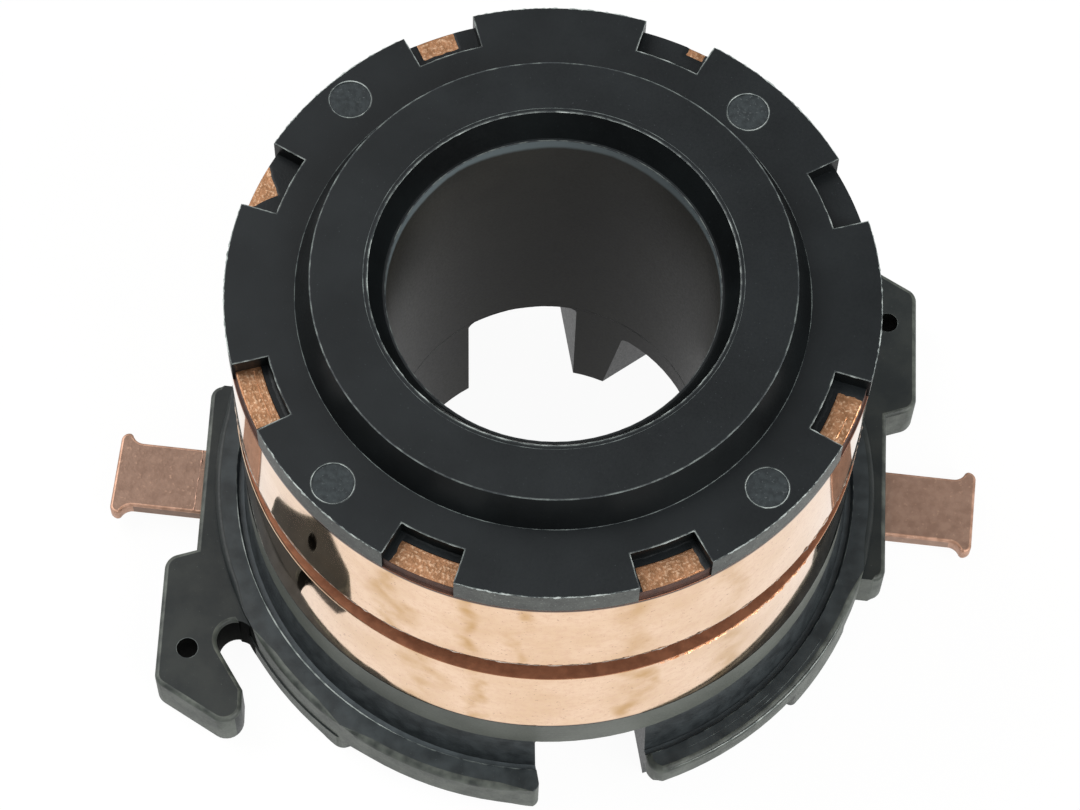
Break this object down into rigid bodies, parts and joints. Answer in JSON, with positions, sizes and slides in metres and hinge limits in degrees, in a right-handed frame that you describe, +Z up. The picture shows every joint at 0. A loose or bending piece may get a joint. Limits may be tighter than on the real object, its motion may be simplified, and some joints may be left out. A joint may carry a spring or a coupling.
{
  "type": "slip ring",
  "caption": "Moulded slip ring for an alternator rotor: stacked copper rings on a flanged sleeve with a shaft bore and flat copper lead strips at the sides.",
  "frame": {"origin": "on the shaft axis at the level of the feet, the middle of the overall box's underside", "axes": "+Z up the bore from the flange to the boss, the lead strips along -X and +X"},
  "size_m": [0.0488, 0.0372, 0.0289],
  "materials": {
    "moulding": "black glass-filled thermoset moulding, satin",
    "ring_copper": "fine-turned bare copper, lightly tarnished",
    "lead_copper": "dull oxidised bare copper strip"
  },
  "bodies": {
    "root": {"moulded_body": "moulding", "upper_slip_ring": "ring_copper", "lower_slip_ring": "ring_copper", "left_lead_strip": "lead_copper", "right_lead_strip": "lead_copper"}
  },
  "joints": []
}
